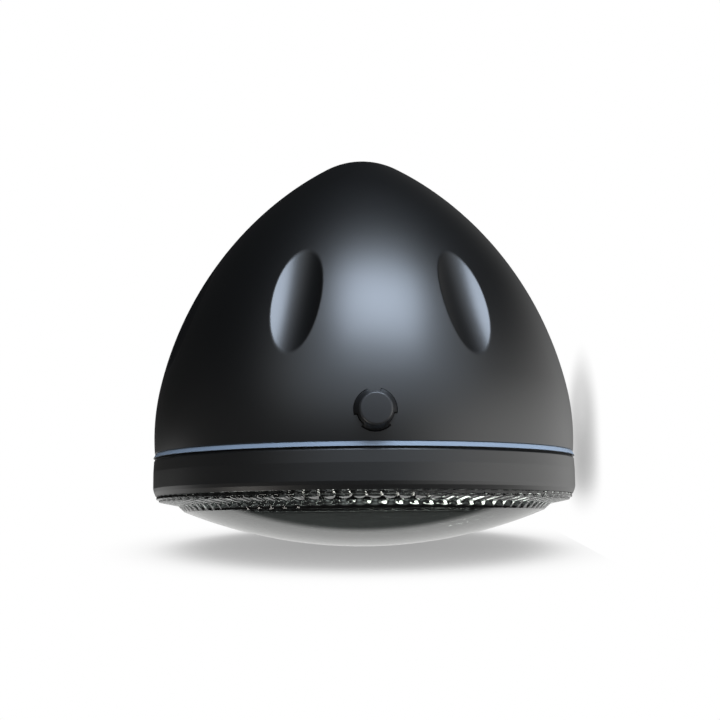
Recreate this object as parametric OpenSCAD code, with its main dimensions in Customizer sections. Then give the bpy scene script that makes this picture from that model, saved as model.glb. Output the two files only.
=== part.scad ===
// Round motorcycle headlight with a dimpled bullet shell, trim ring and clear domed lens.
// The origin is where the side bolts' line crosses the beam axis. The beam points along -Y, +Z is up.
// Every part is drawn on the lamp axis (local +Z runs backwards along the beam axis, local +Y is the
// underside) and then turned into place by along_beam().

/* [Trim ring] */
// Outside diameter of the trim ring
ring_d = 200; // [180:1:220]
// Width of the trim ring along the beam
ring_w = 17; // [15:0.5:24]
// Wall of the trim ring round the lens
ring_wall = 1.5; // [1.2:0.1:2.5]
// Thickness of the ring's inner shoulder
ring_web = 1.5; // [1:0.1:2]
// How far the shoulder reaches inwards past the lens skirt
ring_shoulder = 5.9; // [4.5:0.1:6.5]
// Width of the bevel on the ring's rear edge
ring_bevel = 0.8; // [0.4:0.1:1.2]
// Visible gap between the ring and the shell
seam_gap = 0.6; // [0.4:0.1:1.5]
// Length of the ring's spigot inside the shell
spigot_l = 5; // [4:0.1:6]
// Length of the screw's tab behind the spigot
tab_l = 5.6; // [5:0.1:7]
// Wall of the spigot
spigot_wall = 1.5; // [1.2:0.1:2]

/* [Shell] */
// How far the trim ring stands proud of the shell's belt
ring_proud = 0.3; // [0:0.05:1]
// Distance from the side bolts' line to the shell's front edge
mount_to_edge = 14.8; // [14.5:0.1:20]
// Distance from the shell's front edge to its belt
edge_to_belt = 10.2; // [8:0.1:12]
// Wall of the shell
wall = 2.5; // [2:0.1:3]
// Radius of the belt's curve, seen from the side
belt_curve = 104.5; // [95:0.5:120]
// Angle at which the belt's curve meets the flank's
belt_angle = 12.6; // [10:0.1:15]
// Radius of the flank's curve, seen from the side
flank_curve = 167; // [155:1:185]
// Angle at which the flank's curve meets the nose
nose_angle = 59.4; // [56:0.1:61]
// Width of the light-catching bevel at the shell's front edge
lip_w = 2; // [1.5:0.1:3]
// How far the bevel flares outwards
lip_flare = 1; // [0.6:0.1:1.4]
// Radial step from the bevel's outer edge to the ring's outside
lip_step = 0.1; // [0:0.05:0.5]

/* [Dimples] */
// Dimples on each flank
dimple_count = 3; // [1:1:3]
// Angle of the lowest dimple below the side mount
dimple_first = 28; // [24:1:30]
// Angle from one dimple to the next
dimple_step = 50; // [46:1:52]
// Flank angle at the middle of a dimple
dimple_at = 24; // [22:0.5:27]
// Depth of a dimple
dimple_depth = 3.6; // [2.5:0.1:4.5]
// Radius of a dimple's cross-section
dimple_scoop = 22.8; // [18:0.2:26]
// Radius of a dimple's bottom along its length
dimple_sweep = 226; // [180:2:300]

/* [Side mounts] */
// Radius of the round recess in the shell
recess_r = 9.15; // [8.5:0.05:10]
// Depth of the recess below the shell's surface
recess_depth = 4; // [3:0.1:5]
// Thickness of the shell behind the recess
recess_floor = 4; // [3:0.1:5]
// Extra radius of the boss behind the recess
boss_margin = 2.4; // [2:0.1:3]
// Gap round the bush
key_gap = 0.3; // [0.15:0.05:0.4]
// Keys on the shell
key_count = 3; // [2:1:3]
// Angle of the first key, from the underside towards the rear
key_first = 92; // [60:1:120]
// Width of each key as an angle
key_angle = 34; // [24:1:40]
// Radial depth of each key
key_depth = 1.25; // [0.8:0.05:1.4]
// How far the bush's cone stands proud of the shell
bush_proud = 3.9; // [3:0.1:5]
// Radius of the bush where the bolt head sits on it
bush_top_r = 7; // [6.6:0.05:7.2]
// Nominal radius of the side bolt
bolt_r = 4; // [3:0.5:4]
// Radial clearance round the bolt
bolt_clear = 0.2; // [0.1:0.05:0.4]
// Radius of the bolt head
head_r = 6.9; // [6.5:0.05:7]
// Height of the bolt head
head_h = 3; // [2.5:0.1:4]
// Rounding of the bolt head's edge
head_round = 1; // [0.5:0.1:1.4]
// Thickness of the washer
washer_t = 1.6; // [1.2:0.1:2]
// Radius of the washer
washer_r = 8; // [7.6:0.1:9]
// Width of the nut across its flats
nut_af = 13; // [12:0.5:13]
// Height of the nut
nut_h = 6.5; // [5:0.1:6.8]
// Length of bolt beyond the nut
bolt_over = 1.5; // [1:0.1:2]

/* [Lens] */
// Thickness of the lens
lens_t = 3; // [2.5:0.1:3.5]
// Clearance between the lens skirt and the ring
lens_clear = 0.3; // [0.2:0.05:0.5]
// Thickness of the sealing bead behind the lens
seal_t = 0.8; // [0.5:0.1:1.2]
// Depth of the pocket in the ring that holds the lens and its seal
lens_pocket = 6.4; // [5.5:0.1:7]
// How far the rim of the lens stands in front of the ring
lens_rim_out = 2.8; // [2.4:0.1:4]
// Height of the bead round the rim
bead_h = 1.5; // [1:0.1:1.8]
// Width of the rim's front face
rim_w = 8.9; // [7:0.1:11]
// Width of the step between the rim and the dome
step_w = 3; // [2:0.1:5]
// Fall of the rim's front face towards the step
rim_fall = 1.8; // [1:0.1:2.5]
// Height of the step
step_h = 2.7; // [2:0.1:3.5]
// Radius of the dome
dome_r = 226; // [180:2:300]
// Flutes round the inside of the rim
flute_count = 90; // [24:2:100]
// Radius of each flute
flute_r = 2.2; // [1.6:0.1:2.4]
// Depth of the flutes' centres below the lens's inner face
flute_sink = 0.7; // [0.2:0.1:1]

/* [Reflector] */
// Gap between the reflector's flange and the ring's spigot
flange_clear = 2; // [1.6:0.1:2.6]
// Width of the reflector's flange
flange_w = 3.4; // [3:0.1:5]
// Focal length of the reflector
focal = 28; // [26:0.5:32]
// Thickness of the reflector
reflector_t = 1.5; // [1:0.1:2]
// Radius of the hole for the bulb
neck_r = 19; // [18:0.5:20]
// Clips that hold the reflector
clip_count = 3; // [2:1:4]
// Thickness of the clips' strip
clip_t = 0.8; // [0.6:0.1:1]
// Width of each clip as an angle
clip_angle = 9; // [6:1:14]
// Length of each clip along the ring's wall
clip_l = 9; // [7:0.5:12]

/* [Bulb] */
// Radius of the bulb's glass
glass_r = 8.5; // [7.5:0.1:9]
// Wall of the bulb's glass
glass_t = 1; // [0.8:0.1:1.3]
// Distance from the bulb's flange to the tip of its glass
glass_l = 56; // [50:1:60]
// Radius of the bulb's flange
bulb_flange_r = 21.5; // [20.5:0.1:22]
// Thickness of the bulb's flange
bulb_flange_t = 1.2; // [1:0.1:2]
// Radius of the bulb's rear cap
cap_r = 12; // [11:0.1:12.5]
// Length of the bulb's rear cap
cap_l = 13; // [12:0.5:16]
// Length of the pad that the bulb clip's screw holds
pad_l = 4.4; // [4:0.1:5]
// Width of that pad
pad_w = 8; // [7:0.5:10]
// Width of the hook that the bulb clip snaps under
hook_w = 6; // [5:0.5:8]
// Thickness of the bulb seat
seat_t = 1.5; // [1:0.1:2]
// Half the thickness of the bulb clip's square wire
wire_r = 0.7; // [0.5:0.05:0.9]
// Wall of the rubber boot
boot_t = 1.8; // [1.4:0.1:2.4]
// Length of the boot's skirt round the bulb seat
boot_skirt = 7; // [6:0.5:9]
// Length of the boot's cuff behind the bulb's cap
boot_cuff = 4; // [3:0.5:6]
// Length of the bulb's terminals
terminal_l = 9; // [7:0.1:10]
// Width of the bulb's terminals
terminal_w = 8; // [6:0.1:8]
// Thickness of the bulb's terminals
terminal_t = 0.8; // [0.6:0.1:1]

/* [Cable inlet] */
// Distance of the inlet behind the side bolts' line
inlet_back = 7; // [6:0.5:16]
// Radius of the inlet's bore
inlet_r = 4.5; // [3:0.1:5.5]
// Radius of the grommet's neck
grommet_neck_r = 6.5; // [6:0.1:7]
// Radius of the grommet's flanges
grommet_r = 9; // [8:0.1:10]
// Thickness of the grommet's outer flange
grommet_lip = 1.6; // [1.2:0.1:2]
// Length of the ring screw's shank
ring_screw_l = 9; // [8.5:0.1:11]
// Radius of the ring screw
ring_screw_r = 2; // [1.5:0.1:2.1]

/* [Hidden] */
$fn = 96;

// Colours
black_paint = "#26282a";
black_metal = "#303336";
steel = "#9aa0a6";
clear = "#c8dce4";
rubber = "#1a1a1a";
bright = "#dfe4e8";
brass = "#b79a4b";

// Places along the lamp axis, measured backwards from the side bolts' line
edge_z = -mount_to_edge;
belt_z = edge_z + edge_to_belt;
ring_back = edge_z - seam_gap;
ring_front = ring_back - ring_w;
shoulder_front = ring_front + lens_pocket;
shoulder_back = shoulder_front + ring_web;
lens_back = shoulder_front - seal_t;
rim_front = ring_front - lens_rim_out;

// Radii that fit each other
ring_r = ring_d / 2;
shell_r = ring_r - ring_proud;
shell_bore = shell_r - wall;
spigot_gap = 0.3;
spigot_r = shell_bore - spigot_gap;
spigot_bore = spigot_r - spigot_wall;
pocket_r = ring_r - ring_wall;
skirt_r = pocket_r - lens_clear;
shoulder_r = pocket_r - ring_shoulder;
ring_edge_r = ring_r - 0.3 - ring_bevel;
flange_r = spigot_bore - flange_clear;
mouth_r = flange_r - flange_w;

// Centres and meeting points of the shell's three curves, as [radius, height along the axis]
function on_arc(centre, r, angle) = [centre[0] + r * cos(angle), centre[1] + r * sin(angle)];
belt_c = [shell_r - belt_curve, belt_z];
belt_end = on_arc(belt_c, belt_curve, belt_angle);
flank_c = on_arc(belt_end, -flank_curve, belt_angle);
flank_end = on_arc(flank_c, flank_curve, nose_angle);
nose_curve = flank_end[0] / cos(nose_angle);
nose_c = [0, flank_end[1] - nose_curve * sin(nose_angle)];

// Radius of the shell's outside at a height along the axis
function shell_at(z) = z < belt_end[1]
    ? belt_c[0] + sqrt(pow(belt_curve, 2) - pow(z - belt_z, 2))
    : flank_c[0] + sqrt(pow(flank_curve, 2) - pow(z - flank_c[1], 2));

// Points of an arc from one angle to another
function arc_points(centre, r, from, to, steps) =
    [for (i = [0 : steps]) on_arc(centre, r, from + (to - from) * i / steps)];

// The shell's outline above its belt, moved inwards by inset
function shell_curve(inset) = concat(
    arc_points(belt_c, belt_curve - inset, 0, belt_angle, 3),
    arc_points(flank_c, flank_curve - inset, belt_angle, nose_angle, 12),
    arc_points(nose_c, nose_curve - inset, nose_angle, 90, 6)
);
lip_back = edge_z + lip_w;

// Dimples
dimple_angles = [for (side = [0, 1], i = [0 : dimple_count - 1])
    let (a = dimple_first - i * dimple_step) side == 0 ? a : 180 - a];
dimple_spot = on_arc(flank_c, flank_curve, dimple_at);
dimple_reach = 24;

// Side mounts, as distances from the beam axis along the bolts' line
mount_surface = shell_at(0);
recess_bottom = mount_surface - recess_depth;
boss_face = recess_bottom - recess_floor;
boss_r = recess_r + boss_margin;
bush_r = recess_r - key_gap;
bush_top = mount_surface + bush_proud;
washer_face = boss_face - washer_t;
nut_face = washer_face - nut_h;
key_gap_angle = 4;

// Lens
groove_in = 0.9;
rim_r = skirt_r - groove_in;
step_outer_r = rim_r - rim_w;
step_inner_r = step_outer_r - step_w;
dome_c = rim_front - rim_fall - step_h + sqrt(pow(dome_r, 2) - pow(step_inner_r, 2));
dome_half = asin(step_inner_r / dome_r);
bead_back = ring_front - 0.2;
corner = 0.9;
inner_step_r = step_inner_r - lens_t * 0.7;
inner_dome_half = asin(inner_step_r / (dome_r - lens_t));
inner_rim_front = rim_front + lens_t;
flute_tilt = atan(rim_fall / (rim_r - step_outer_r));
flute_l = skirt_r - step_outer_r + lens_t;

// Reflector and bulb
reflector_front = shoulder_back;
vertex = reflector_front + pow(mouth_r, 2) / (4 * focal);
function bowl(r) = vertex - pow(r, 2) / (4 * focal);
function bowl_normal(r) = [r / (2 * focal), 1] / sqrt(1 + pow(r / (2 * focal), 2));
bowl_steps = 16;
bowl_radii = [for (i = [0 : bowl_steps]) neck_r + (mouth_r - neck_r) * i / bowl_steps];
seat_back = vertex + seat_t;
flange_back = seat_back + bulb_flange_t;
cap_back = flange_back + cap_l;
glass_tip = seat_back - glass_l;
collar_r = glass_r + 2;
collar_l = 7;
clip_gap = 0.1;

// Cable inlet and ring screw
inlet_flat = sqrt(pow(shell_at(inlet_back + grommet_r), 2) - pow(grommet_r, 2)) - grommet_lip / 2;
ring_screw_z = edge_z + 2.4 + 2 * ring_screw_r;
ring_screw_seat = sqrt(pow(shell_at(ring_screw_z - 2 * ring_screw_r), 2) - pow(2 * ring_screw_r, 2)) - 1;
ring_screw_head = 1.2;

// The hook at the top of the ring and the screw's tab at its underside
hook_r = shell_bore + 0.9;
hook_h = 1.4;
hook_angle = 8;
hook_z = ring_back + spigot_l - hook_h - 0.4;
tab_angle = 9;
tab_r = spigot_r - 0.2;

// The bulb's seat and its wire clip
clip_z = bulb_flange_t + wire_r;
wire_x = cap_r + 2;
wire_bend_y = 14;
bail_y = bulb_flange_r + wire_r + 0.3;
bail_half = 5;
pad_y = bulb_flange_r + 0.3;
seat_r = pad_y + pad_l + 0.8;
hook_lip = 1;
hook_back = bail_y + wire_r + 2.1;
boot_in = seat_r + 1;

// The frame inside the glass stands on the floor of the bulb's collar
frame_floor = seat_back - 2;
low_z = vertex - focal - 4;
high_z = vertex - focal + 4;

// Turns a part from the lamp axis into the vehicle's attitude
module along_beam() rotate([-90, 0, 0]) children();

// Puts a part that was drawn along +Z on the bolts' line, on the right-hand side
module on_side() rotate([0, 90, 0]) children();

// Puts a part that was drawn along +Z on the underside, pointing outwards
module underside(z) translate([0, 0, z]) rotate([-90, 0, 0]) children();

// A round sector centred on its own +X
module sector(r1, r2, h, angle)
    rotate([0, 0, -angle / 2]) rotate_extrude(angle = angle) translate([r1, 0]) square([r2 - r1, h]);

// Repeats a part at the keys' angles
module each_key()
    for (i = [0 : key_count - 1]) rotate([0, 0, 90 + key_first + i * 360 / key_count]) children();

// The rounded cutter that scoops one dimple
module dimple_cutter(grow)
    translate([dimple_spot[0], 0, dimple_spot[1]]) rotate([0, -dimple_at, 0])
        translate([dimple_sweep - dimple_depth, 0, 0]) rotate([90, 0, 0])
            rotate([0, 0, 180 - dimple_reach / 2]) rotate_extrude(angle = dimple_reach)
                translate([dimple_sweep - dimple_scoop, 0]) circle(r = dimple_scoop + grow);

module dimple_cutters(grow)
    for (a = dimple_angles) rotate([0, 0, a]) dimple_cutter(grow);

// The outside of the shell as one solid
module shell_outside() difference() {
    rotate_extrude() polygon(concat(
        [[0, edge_z], [ring_r - lip_step, edge_z], [ring_r - lip_step - lip_flare, lip_back],
         [shell_at(lip_back + 0.3), lip_back + 0.3]],
        shell_curve(0)
    ));
    dimple_cutters(0);
}

// The room inside the shell
module shell_inside() difference() {
    rotate_extrude() polygon(concat([[0, edge_z - 1], [shell_bore, edge_z - 1]], shell_curve(wall)));
    dimple_cutters(wall);
}

// Bosses that stand inwards behind the side recesses and round the cable inlet
module inner_bosses() {
    for (m = [0, 1]) mirror([m, 0, 0]) on_side()
        translate([0, 0, boss_face]) cylinder(r = boss_r, h = recess_floor + recess_depth);
    underside(inlet_back) translate([0, 0, inlet_flat - wall]) cylinder(r = grommet_r + wall, h = 3 * wall);
}

// A side recess with its keys and the bolt's hole
module side_recess() on_side() {
    difference() {
        translate([0, 0, recess_bottom]) cylinder(r = recess_r, h = 2 * recess_depth);
        each_key() translate([0, 0, recess_bottom - 1])
            sector(recess_r - key_depth, recess_r + 1, 2 * recess_depth + 2, key_angle);
    }
    translate([0, 0, boss_face - 1]) cylinder(r = bolt_r + bolt_clear, h = recess_floor + 2);
}

module housing() color(black_paint) along_beam() difference() {
    shell_outside();
    difference() {
        shell_inside();
        inner_bosses();
    }
    side_recess();
    mirror([1, 0, 0]) side_recess();
    underside(inlet_back) translate([0, 0, inlet_flat]) cylinder(r = grommet_r + 0.3, h = 3 * wall);
    underside(inlet_back) translate([0, 0, inlet_flat - 2 * wall]) cylinder(r = grommet_neck_r, h = 4 * wall);
    underside(ring_screw_z) translate([0, 0, shell_bore - 2]) cylinder(r = ring_screw_r + 0.2, h = 3 * wall);
    underside(ring_screw_z) translate([0, 0, ring_screw_seat]) cylinder(r = 2 * ring_screw_r + 0.3, h = 2 * wall);
    rotate([0, 0, -90]) translate([0, 0, hook_z - spigot_gap])
        sector(shell_bore - 1, hook_r + spigot_gap, hook_h + 2 * spigot_gap, hook_angle + 1);
}

module trim_ring() color(black_paint) along_beam() difference() {
    union() {
        rotate_extrude() polygon([
            [pocket_r, ring_front], [pocket_r + 0.3, ring_front], [ring_r - 0.3, ring_front + 1.8],
            [ring_r, ring_front + 3], [ring_r, ring_back - ring_w / 3], [ring_r - 0.3, ring_back - ring_bevel],
            [ring_edge_r, ring_back], [spigot_r, ring_back], [spigot_r, ring_back + spigot_l],
            [spigot_bore, ring_back + spigot_l], [spigot_bore, shoulder_back], [shoulder_r, shoulder_back],
            [shoulder_r, shoulder_front], [pocket_r, shoulder_front]
        ]);
        rotate([0, 0, -90]) translate([0, 0, hook_z]) sector(spigot_bore + 0.3, hook_r, hook_h, hook_angle);
        rotate([0, 0, 90]) translate([0, 0, ring_back + 1])
            sector(spigot_bore + 0.2, tab_r, spigot_l + tab_l - 1, tab_angle);
    }
    for (m = [0, 1]) mirror([m, 0, 0]) on_side()
        translate([0, 0, boss_face - 4]) cylinder(r = boss_r + spigot_gap, h = recess_floor + recess_depth + 4);
    underside(ring_screw_z) translate([0, 0, spigot_bore - 2]) cylinder(r = ring_screw_r + 0.2, h = 5);
}

module rim_gasket() color(rubber) along_beam() rotate_extrude()
    translate([spigot_r + 0.2, ring_back]) square([ring_edge_r - 0.3 - spigot_r - 0.2, seam_gap]);

module ring_screw() color(steel) along_beam() underside(ring_screw_z) difference() {
    union() {
        translate([0, 0, ring_screw_seat]) cylinder(r = 2 * ring_screw_r, h = ring_screw_head);
        translate([0, 0, ring_screw_seat - ring_screw_l]) cylinder(r = ring_screw_r, h = ring_screw_l + 0.5);
    }
    for (a = [0, 90]) rotate([0, 0, a])
        translate([-1.5, -0.4, ring_screw_seat + ring_screw_head - 0.6]) cube([3, 0.8, 2]);
}

module ring_nut() color(steel) along_beam() underside(ring_screw_z) difference() {
    translate([-4.5, -2.4, spigot_bore - 3.6]) cube([9, 4.8, 3.2]);
    translate([0, 0, spigot_bore - 4]) cylinder(r = ring_screw_r, h = 4);
}

// Outline of the lens: bead, groove, rim, step and dome
module lens_outline() polygon(concat(
    [[skirt_r, lens_back], [skirt_r, bead_back], [skirt_r + 0.3, bead_back - 0.3],
     [skirt_r + 0.3, bead_back - bead_h + 0.3], [skirt_r, bead_back - bead_h], [rim_r, bead_back - bead_h - 0.2],
     [rim_r, rim_front + corner], [rim_r - corner, rim_front]],
    [[step_outer_r, rim_front - rim_fall]],
    [for (i = [0 : 12]) let (a = dome_half * (1 - i / 12)) [dome_r * sin(a), dome_c - dome_r * cos(a)]],
    [for (i = [0 : 12]) let (a = inner_dome_half * i / 12)
        [(dome_r - lens_t) * sin(a), dome_c - (dome_r - lens_t) * cos(a)]],
    [[step_outer_r - 0.5, inner_rim_front - rim_fall + 0.2], [skirt_r - lens_t, inner_rim_front],
     [skirt_r - lens_t, lens_back]]
));

module lens() color(clear, 0.5) along_beam() union() {
    rotate_extrude() lens_outline();
    for (i = [0 : flute_count - 1]) rotate([0, 0, i * 360 / flute_count])
        translate([skirt_r - lens_t / 2, 0, inner_rim_front - flute_sink]) rotate([0, -90 - flute_tilt, 0])
            cylinder(r = flute_r, h = flute_l);
}

module lens_seal() color(rubber) along_beam() rotate_extrude()
    translate([skirt_r - lens_t, lens_back]) square([lens_t, seal_t]);

module reflector() color(bright) along_beam() rotate_extrude() polygon(concat(
    [for (r = bowl_radii) [r, bowl(r)]],
    [[flange_r, reflector_front], [flange_r, reflector_front + reflector_t],
     [mouth_r + 1, reflector_front + reflector_t]],
    [for (i = [bowl_steps - 1 : -1 : 1]) let (r = bowl_radii[i])
        [r, bowl(r)] + reflector_t * bowl_normal(r)],
    [[neck_r + reflector_t + 1, vertex], [neck_r, vertex]]
));

module lamp_clips() color(steel) along_beam()
    for (i = [0 : clip_count - 1]) rotate([0, 0, -90 + (i + 0.5) * 360 / clip_count]) union() {
        translate([0, 0, reflector_front + reflector_t])
            sector(mouth_r + 1.5, spigot_bore - clip_gap, clip_t, clip_angle);
        translate([0, 0, reflector_front + reflector_t])
            sector(spigot_bore - clip_gap - clip_t, spigot_bore - clip_gap, clip_l, clip_angle);
    }

module bulb_seat() color(steel) along_beam() difference() {
    union() {
        translate([0, 0, vertex]) cylinder(r = seat_r, h = seat_t);
        translate([-pad_w / 2, pad_y, seat_back - 0.5]) cube([pad_w, pad_l, bulb_flange_t + 0.5]);
        translate([-hook_w / 2, -hook_back, seat_back - 0.5]) cube([hook_w, 2, clip_z + wire_r + hook_lip + 0.6]);
        translate([-hook_w / 2, -hook_back, seat_back + clip_z + wire_r + 0.1]) cube([hook_w, 4, hook_lip]);
    }
    translate([0, 0, vertex - 1]) cylinder(r = neck_r - 1.5, h = seat_t + 2);
    translate([0, pad_y + pad_l / 2, vertex - 1]) cylinder(r = 1.1, h = seat_t + bulb_flange_t + 2);
}

// The outline of a strip that follows a list of points, mitred at its corners
function unit(v) = v / norm(v);
function left_of(v) = [-v[1], v[0]];
function side_steps(points) = let (
    n = len(points) - 1,
    sides = [for (i = [0 : n - 1]) left_of(unit(points[i + 1] - points[i]))]
) [for (i = [0 : n]) let (a = sides[max(i - 1, 0)], b = sides[min(i, n - 1)]) (a + b) / (1 + a * b)];
function strip(points, half) = let (steps = side_steps(points), n = len(points) - 1) concat(
    [for (i = [0 : n]) points[i] + half * steps[i]],
    [for (i = [n : -1 : 0]) points[i] - half * steps[i]]
);

module bulb_clip() color(steel) along_beam() translate([0, 0, flange_back])
    linear_extrude(height = 2 * wire_r) polygon(strip([
        [1.2 + wire_r, pad_y + pad_l], [1.2 + wire_r, pad_y - 2 * wire_r], [wire_x, wire_bend_y],
        [wire_x, -wire_bend_y], [bail_half, -bail_y], [-bail_half, -bail_y], [-wire_x, -wire_bend_y],
        [-wire_x, wire_bend_y], [-1.2 - wire_r, pad_y - 2 * wire_r], [-1.2 - wire_r, pad_y + pad_l]
    ], wire_r));

module bulb_clip_screw() color(steel) along_beam() translate([0, pad_y + pad_l / 2, vertex]) union() {
    cylinder(r = 1.1, h = seat_t + clip_z + wire_r + 0.6);
    translate([0, 0, seat_t + clip_z + wire_r]) cylinder(r = 3, h = 1.4);
}

module bulb_base() color(steel) along_beam() difference() {
    union() {
        translate([0, 0, seat_back - collar_l]) cylinder(r = collar_r, h = collar_l + bulb_flange_t);
        translate([0, 0, seat_back]) cylinder(r = bulb_flange_r - 1.5, h = bulb_flange_t);
        for (a = [-90, 30, 150]) rotate([0, 0, a]) translate([0, 0, seat_back])
            sector(10, bulb_flange_r, bulb_flange_t, 22);
        translate([0, 0, flange_back]) cylinder(r = cap_r, h = cap_l);
    }
    translate([0, 0, seat_back - collar_l - 1]) cylinder(r = glass_r, h = collar_l - 1);
}

module bulb_glass() color(clear, 0.5) along_beam() difference() {
    union() {
        translate([0, 0, glass_tip + glass_r]) cylinder(r = glass_r, h = glass_l - glass_r - 2);
        translate([0, 0, glass_tip + glass_r]) sphere(r = glass_r);
    }
    translate([0, 0, glass_tip + glass_r]) cylinder(r = glass_r - glass_t, h = glass_l);
    translate([0, 0, glass_tip + glass_r]) sphere(r = glass_r - glass_t);
}

module bulb_shield() color(steel) along_beam() union() {
    difference() {
        translate([0, 0, low_z - 5]) cylinder(r = 5, h = 8);
        translate([0, 0, low_z - 4]) cylinder(r = 4.4, h = 8);
        translate([-6, -6, low_z - 6]) cube([12, 6, 10]);
    }
    translate([0, 4.7, low_z + 1]) cylinder(r = 0.6, h = frame_floor - low_z - 1);
}

module bulb_filaments() color(steel) along_beam() for (f = [[low_z, 1.2], [high_z, -1.6]]) union() {
    translate([-2.4, f[1], f[0]]) rotate([0, 90, 0]) cylinder(r = 0.7, h = 4.8);
    for (s = [-1, 1]) translate([s * 2.4, f[1], f[0]]) cylinder(r = 0.4, h = frame_floor - f[0]);
}

module bulb_terminals() color(brass) along_beam() {
    for (s = [-1, 1]) translate([s * terminal_w - terminal_t / 2, -terminal_w / 2, cap_back])
        cube([terminal_t, terminal_w, terminal_l]);
    translate([-terminal_w / 2, -terminal_w - terminal_t / 2, cap_back])
        cube([terminal_w, terminal_t, terminal_l]);
}

module bulb_boot() color(rubber) along_beam() rotate_extrude() polygon([
    [seat_r, vertex], [boot_in + boot_t, vertex], [boot_in + boot_t, seat_back + boot_skirt],
    [seat_r - 4, seat_back + boot_skirt + 4], [seat_r - 6, seat_back + boot_skirt + 7],
    [cap_r + boot_t, cap_back - 1], [cap_r + boot_t, cap_back + boot_cuff], [cap_r, cap_back + boot_cuff],
    [cap_r, cap_back - 3], [seat_r - 8, seat_back + boot_skirt + 4.5], [seat_r - 6, seat_back + boot_skirt + 2.5],
    [boot_in, seat_back + boot_skirt - 1], [boot_in, seat_back], [seat_r, seat_back]
]);

module side_bush() on_side() difference() {
    union() {
        translate([0, 0, recess_bottom]) cylinder(r = bush_r, h = recess_depth);
        translate([0, 0, mount_surface]) cylinder(r1 = bush_r, r2 = bush_top_r, h = bush_proud);
    }
    each_key() translate([0, 0, recess_bottom - 1])
        sector(recess_r - key_depth - key_gap, recess_r + 1, recess_depth + bush_proud + 2,
            key_angle + key_gap_angle);
    translate([0, 0, recess_bottom - 1]) cylinder(r = bolt_r + bolt_clear, h = recess_depth + bush_proud + 2);
}

module side_bolt() on_side() union() {
    translate([0, 0, bush_top]) rotate_extrude() polygon(concat(
        [[0, 0], [head_r, 0]],
        arc_points([head_r - head_round, head_h - head_round], head_round, 0, 90, 6),
        [[0, head_h]]
    ));
    translate([0, 0, nut_face - bolt_over]) cylinder(r = bolt_r, h = bush_top - nut_face + bolt_over + 0.5);
}

module side_washer() on_side() difference() {
    translate([0, 0, washer_face]) cylinder(r = washer_r, h = washer_t);
    translate([0, 0, washer_face - 1]) cylinder(r = bolt_r + bolt_clear, h = washer_t + 2);
}

module side_nut() on_side() difference() {
    translate([0, 0, nut_face]) cylinder(d = nut_af / cos(30), h = nut_h, $fn = 6);
    translate([0, 0, nut_face - 1]) cylinder(r = bolt_r, h = nut_h + 2);
}

module right_side() along_beam() children();
module left_side() along_beam() mirror([1, 0, 0]) children();

module side_bush_right() color(black_metal) right_side() side_bush();
module side_bush_left() color(black_metal) left_side() side_bush();
module side_bolt_right() color(black_metal) right_side() side_bolt();
module side_bolt_left() color(black_metal) left_side() side_bolt();
module side_washer_right() color(steel) right_side() side_washer();
module side_washer_left() color(steel) left_side() side_washer();
module side_nut_right() color(steel) right_side() side_nut();
module side_nut_left() color(steel) left_side() side_nut();

module cable_grommet() color(rubber) along_beam() underside(inlet_back)
    translate([0, 0, inlet_flat - wall]) difference() {
        union() {
            translate([0, 0, wall]) cylinder(r = grommet_r, h = grommet_lip);
            cylinder(r = grommet_neck_r, h = wall + 1);
            translate([0, 0, -grommet_lip]) cylinder(r = grommet_r, h = grommet_lip);
        }
        translate([0, 0, -grommet_lip - 1]) cylinder(r = inlet_r, h = wall + 2 * grommet_lip + 2);
    }

housing();
trim_ring();
rim_gasket();
ring_screw();
ring_nut();
lens();
lens_seal();
reflector();
lamp_clips();
bulb_seat();
bulb_clip();
bulb_clip_screw();
bulb_base();
bulb_glass();
bulb_shield();
bulb_filaments();
bulb_terminals();
bulb_boot();
side_bush_right();
side_bush_left();
side_bolt_right();
side_bolt_left();
side_washer_right();
side_washer_left();
side_nut_right();
side_nut_left();
cable_grommet();
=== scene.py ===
"""Dresses a round motorcycle headlight: a dimpled bullet shell, its ring, its fluted lens and its side mounts."""
import logging
import math
from dataclasses import dataclass, field
from enum import Enum

import bmesh
import bpy
import numpy as np
from mathutils import Matrix, Vector


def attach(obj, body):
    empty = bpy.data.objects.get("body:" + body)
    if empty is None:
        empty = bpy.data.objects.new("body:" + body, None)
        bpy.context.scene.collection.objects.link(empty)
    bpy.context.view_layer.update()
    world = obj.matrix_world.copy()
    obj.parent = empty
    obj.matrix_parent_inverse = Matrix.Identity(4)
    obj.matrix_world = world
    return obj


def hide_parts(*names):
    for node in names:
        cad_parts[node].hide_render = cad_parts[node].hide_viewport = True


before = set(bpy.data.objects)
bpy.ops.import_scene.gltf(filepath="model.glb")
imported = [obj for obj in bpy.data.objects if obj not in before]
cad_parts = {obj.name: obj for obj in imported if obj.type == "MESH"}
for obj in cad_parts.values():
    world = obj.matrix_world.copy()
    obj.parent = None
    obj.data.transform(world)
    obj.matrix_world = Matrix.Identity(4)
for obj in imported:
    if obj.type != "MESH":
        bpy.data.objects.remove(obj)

LOG = logging.getLogger("headlight")
MM = 0.001
BODY = "root"
# Metres within which points merge, and the shortest edge that stays.
WELD, SLIVER = 2e-6, 1e-7
# Share of an edge that a rounding takes at most, and the share up to which it gets a lead point.
ROUND_SHARE, LEAD_SHARE = 0.45, 0.48


class Side(Enum):
    """The lamp's two flanks, by the sign of their X."""

    RIGHT = 1
    LEFT = -1


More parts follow.
